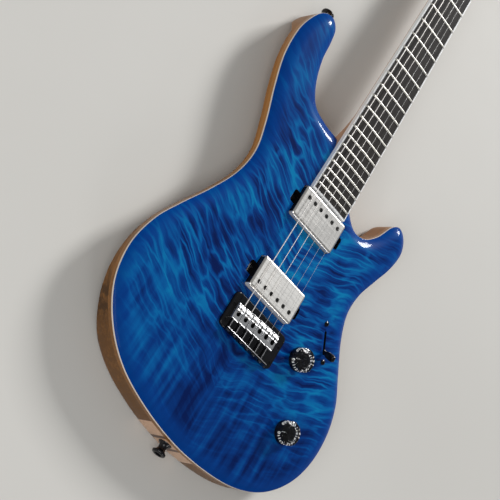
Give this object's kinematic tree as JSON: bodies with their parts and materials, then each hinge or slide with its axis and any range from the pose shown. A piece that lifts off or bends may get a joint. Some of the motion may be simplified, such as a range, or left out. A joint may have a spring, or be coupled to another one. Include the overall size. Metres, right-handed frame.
{
  "type": "electric guitar",
  "caption": "Solid-body electric guitar with a through neck, carved blue figured top, two covered pickups, fixed bridge with sliding saddles, and geared tuners.",
  "frame": {"origin": "on the back plane and the centre line, below the line where the highest string leaves its saddle", "axes": "+Y along the neck to the headstock, +X to the treble side, +Z out of the front"},
  "size_m": [0.3293, 0.9945, 0.0585],
  "materials": {
    "core_wood": "satin natural laminate",
    "wing_wood": "satin natural",
    "blue_figured_top": "gloss translucent blue over figured wood",
    "pale_strip": "gloss natural",
    "dark_board": "satin",
    "cream_plastic": "gloss",
    "bright_steel": "polished",
    "plain_steel": "plain",
    "satin_nickel": "brushed satin",
    "pole_steel": "dark plated",
    "coil_black": "matte",
    "bright_chrome": "polished",
    "black_metal": "gloss black",
    "black_plastic": "gloss black",
    "black_cover": "matte black",
    "black_lead": "matte"
  },
  "bodies": {
    "guitar": {"neck_through_core": "core_wood", "bass_wing": "wing_wood", "treble_wing": "wing_wood", "top_plate": "blue_figured_top", "headstock_veneer": "blue_figured_top", "body_binding": "pale_strip", "fretboard": "dark_board", "fretboard_binding": "cream_plastic", "nut": "cream_plastic", "frets": "bright_steel", "strings": "bright_steel", "string_ferrules": "bright_steel", "truss_rod": "plain_steel", "neck_pickup_springs": "plain_steel", "bridge_pickup_springs": "plain_steel", "mounting_screws": "plain_steel", "switch_frame": "plain_steel", "control_pots": "plain_steel", "control_nuts": "plain_steel", "output_jack": "bright_chrome", "bridge_base": "black_metal", "intonation_screws": "black_metal", "strap_buttons": "black_metal", "tuner_housings": "black_metal", "tuner_bushings": "black_metal", "truss_rod_cover": "black_plastic", "control_cover": "black_cover", "wiring": "black_lead"},
    "volume_control": {"volume_knob": "black_plastic", "volume_shaft": "plain_steel"},
    "tone_control": {"tone_knob": "black_plastic", "tone_shaft": "plain_steel"},
    "pickup_selector": {"switch_lever": "plain_steel", "switch_tip": "black_plastic"},
    "neck_pickup": {"neck_pickup_cover": "satin_nickel", "neck_pickup_base": "satin_nickel", "neck_pickup_coils": "coil_black", "neck_pickup_screws": "pole_steel"},
    "bridge_pickup": {"bridge_pickup_cover": "satin_nickel", "bridge_pickup_base": "satin_nickel", "bridge_pickup_coils": "coil_black", "bridge_pickup_screws": "pole_steel"},
    "saddle_1": {"saddle_1": "bright_chrome"},
    "saddle_2": {"saddle_2": "bright_chrome"},
    "saddle_3": {"saddle_3": "bright_chrome"},
    "saddle_4": {"saddle_4": "bright_chrome"},
    "saddle_5": {"saddle_5": "bright_chrome"},
    "saddle_6": {"saddle_6": "bright_chrome"},
    "tuner_button_1": {"tuner_button_1": "black_metal"},
    "tuner_button_2": {"tuner_button_2": "black_metal"},
    "tuner_button_3": {"tuner_button_3": "black_metal"},
    "tuner_button_4": {"tuner_button_4": "black_metal"},
    "tuner_button_5": {"tuner_button_5": "black_metal"},
    "tuner_button_6": {"tuner_button_6": "black_metal"},
    "tuner_post_1": {"tuner_post_1": "black_metal"},
    "tuner_post_2": {"tuner_post_2": "black_metal"},
    "tuner_post_3": {"tuner_post_3": "black_metal"},
    "tuner_post_4": {"tuner_post_4": "black_metal"},
    "tuner_post_5": {"tuner_post_5": "black_metal"},
    "tuner_post_6": {"tuner_post_6": "black_metal"}
  },
  "joints": [
    {"name": "volume_turn", "type": "hinge", "parent": "guitar", "child": "volume_control", "pos_m": [0.072, 0.0015, 0.041], "axis": [0, 0, 1], "range_deg": [0, 280]},
    {"name": "tone_turn", "type": "hinge", "parent": "guitar", "child": "tone_control", "pos_m": [0.1035, -0.0685, 0.041], "axis": [0, 0, 1], "range_deg": [0, 280]},
    {"name": "selector_swing", "type": "hinge", "parent": "guitar", "child": "pickup_selector", "pos_m": [0.0925, 0.038, 0.023], "axis": [-0.8572, -0.515, 0], "range_deg": [0, 52]},
    {"name": "neck_pickup_height", "type": "slide", "parent": "guitar", "child": "neck_pickup", "axis": [0, 0, 1], "range_m": [-0.0025, 0.0012], "deforming": ["neck_pickup_springs"]},
    {"name": "bridge_pickup_height", "type": "slide", "parent": "guitar", "child": "bridge_pickup", "axis": [0, 0, 1], "range_m": [-0.0025, 0.0004], "deforming": ["bridge_pickup_springs"]},
    {"name": "saddle_1_slide", "type": "slide", "parent": "guitar", "child": "saddle_1", "axis": [0, 1, 0], "range_m": [-0.003, 0.003]},
    {"name": "saddle_2_slide", "type": "slide", "parent": "guitar", "child": "saddle_2", "axis": [0, 1, 0], "range_m": [-0.003, 0.003]},
    {"name": "saddle_3_slide", "type": "slide", "parent": "guitar", "child": "saddle_3", "axis": [0, 1, 0], "range_m": [-0.003, 0.003]},
    {"name": "saddle_4_slide", "type": "slide", "parent": "guitar", "child": "saddle_4", "axis": [0, 1, 0], "range_m": [-0.003, 0.003]},
    {"name": "saddle_5_slide", "type": "slide", "parent": "guitar", "child": "saddle_5", "axis": [0, 1, 0], "range_m": [-0.003, 0.003]},
    {"name": "saddle_6_slide", "type": "slide", "parent": "guitar", "child": "saddle_6", "axis": [0, 1, 0], "range_m": [-0.003, 0.003]},
    {"name": "tuner_1_turn", "type": "hinge", "parent": "guitar", "child": "tuner_button_1", "pos_m": [0.026, 0.7072, 0.017], "axis": [1, 0, 0], "continuous": true},
    {"name": "tuner_2_turn", "type": "hinge", "parent": "guitar", "child": "tuner_button_2", "pos_m": [0.026, 0.7472, 0.017], "axis": [1, 0, 0], "continuous": true},
    {"name": "tuner_3_turn", "type": "hinge", "parent": "guitar", "child": "tuner_button_3", "pos_m": [0.026, 0.7872, 0.017], "axis": [1, 0, 0], "continuous": true},
    {"name": "tuner_4_turn", "type": "hinge", "parent": "guitar", "child": "tuner_button_4", "pos_m": [-0.026, 0.7872, 0.017], "axis": [1, 0, 0], "continuous": true},
    {"name": "tuner_5_turn", "type": "hinge", "parent": "guitar", "child": "tuner_button_5", "pos_m": [-0.026, 0.7472, 0.017], "axis": [1, 0, 0], "continuous": true},
    {"name": "tuner_6_turn", "type": "hinge", "parent": "guitar", "child": "tuner_button_6", "pos_m": [-0.026, 0.7072, 0.017], "axis": [1, 0, 0], "continuous": true},
    {"name": "post_1_turn", "type": "hinge", "parent": "guitar", "child": "tuner_post_1", "pos_m": [0.026, 0.7, 0.022], "axis": [0, 0, -1], "continuous": true},
    {"name": "post_2_turn", "type": "hinge", "parent": "guitar", "child": "tuner_post_2", "pos_m": [0.026, 0.74, 0.022], "axis": [0, 0, -1], "continuous": true},
    {"name": "post_3_turn", "type": "hinge", "parent": "guitar", "child": "tuner_post_3", "pos_m": [0.026, 0.78, 0.022], "axis": [0, 0, -1], "continuous": true},
    {"name": "post_4_turn", "type": "hinge", "parent": "guitar", "child": "tuner_post_4", "pos_m": [-0.026, 0.78, 0.022], "axis": [0, 0, 1], "continuous": true},
    {"name": "post_5_turn", "type": "hinge", "parent": "guitar", "child": "tuner_post_5", "pos_m": [-0.026, 0.74, 0.022], "axis": [0, 0, 1], "continuous": true},
    {"name": "post_6_turn", "type": "hinge", "parent": "guitar", "child": "tuner_post_6", "pos_m": [-0.026, 0.7, 0.022], "axis": [0, 0, 1], "continuous": true}
  ],
  "couplings": [
    {"joint": "post_1_turn", "follows": "tuner_1_turn", "ratio": 0.071429},
    {"joint": "post_2_turn", "follows": "tuner_2_turn", "ratio": 0.071429},
    {"joint": "post_3_turn", "follows": "tuner_3_turn", "ratio": 0.071429},
    {"joint": "post_4_turn", "follows": "tuner_4_turn", "ratio": 0.071429},
    {"joint": "post_5_turn", "follows": "tuner_5_turn", "ratio": 0.071429},
    {"joint": "post_6_turn", "follows": "tuner_6_turn", "ratio": 0.071429}
  ]
}
